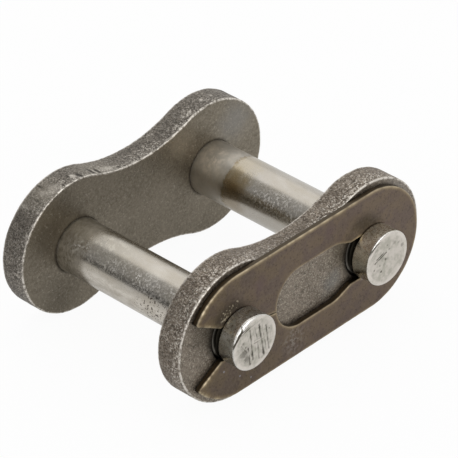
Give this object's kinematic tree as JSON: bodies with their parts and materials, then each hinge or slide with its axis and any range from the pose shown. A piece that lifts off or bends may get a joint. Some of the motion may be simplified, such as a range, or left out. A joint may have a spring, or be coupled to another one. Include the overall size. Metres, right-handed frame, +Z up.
{
  "type": "chain connecting link",
  "caption": "Roller chain connecting link: figure-eight plates, grooved round pins riveted into the rear plate, a slip-fit cover plate and a flat forked spring clip.",
  "frame": {"origin": "left pin's axis, halfway between the two plates", "axes": "+X from the left pin to the right pin, +Y from the clip side to the riveted side, +Z up; the clip's closed end is at +X"},
  "size_m": [0.0456, 0.0376, 0.0202],
  "materials": {
    "plate_steel": "dark heat-treated steel, smooth faces, shot-peened grainy rims, bright worn edges",
    "pin_steel": "ground satin steel, darker heads with bright worn end faces",
    "clip_steel": "bronze-brown tempered spring steel with bright golden edges"
  },
  "bodies": {
    "pin_link": {"pin_link_plate": "plate_steel", "left_pin": "pin_steel", "right_pin": "pin_steel"},
    "cover": {"cover_plate": "plate_steel"},
    "clip": {"spring_clip": "clip_steel"}
  },
  "joints": [
    {"name": "cover_slide", "type": "slide", "parent": "pin_link", "child": "cover", "axis": [0, 1, 0], "range_m": [0, 0.0252]},
    {"name": "clip_release", "type": "slide", "parent": "pin_link", "child": "clip", "axis": [1, 0, 0], "range_m": [0, 0.0072], "deforming": ["spring_clip"]}
  ]
}
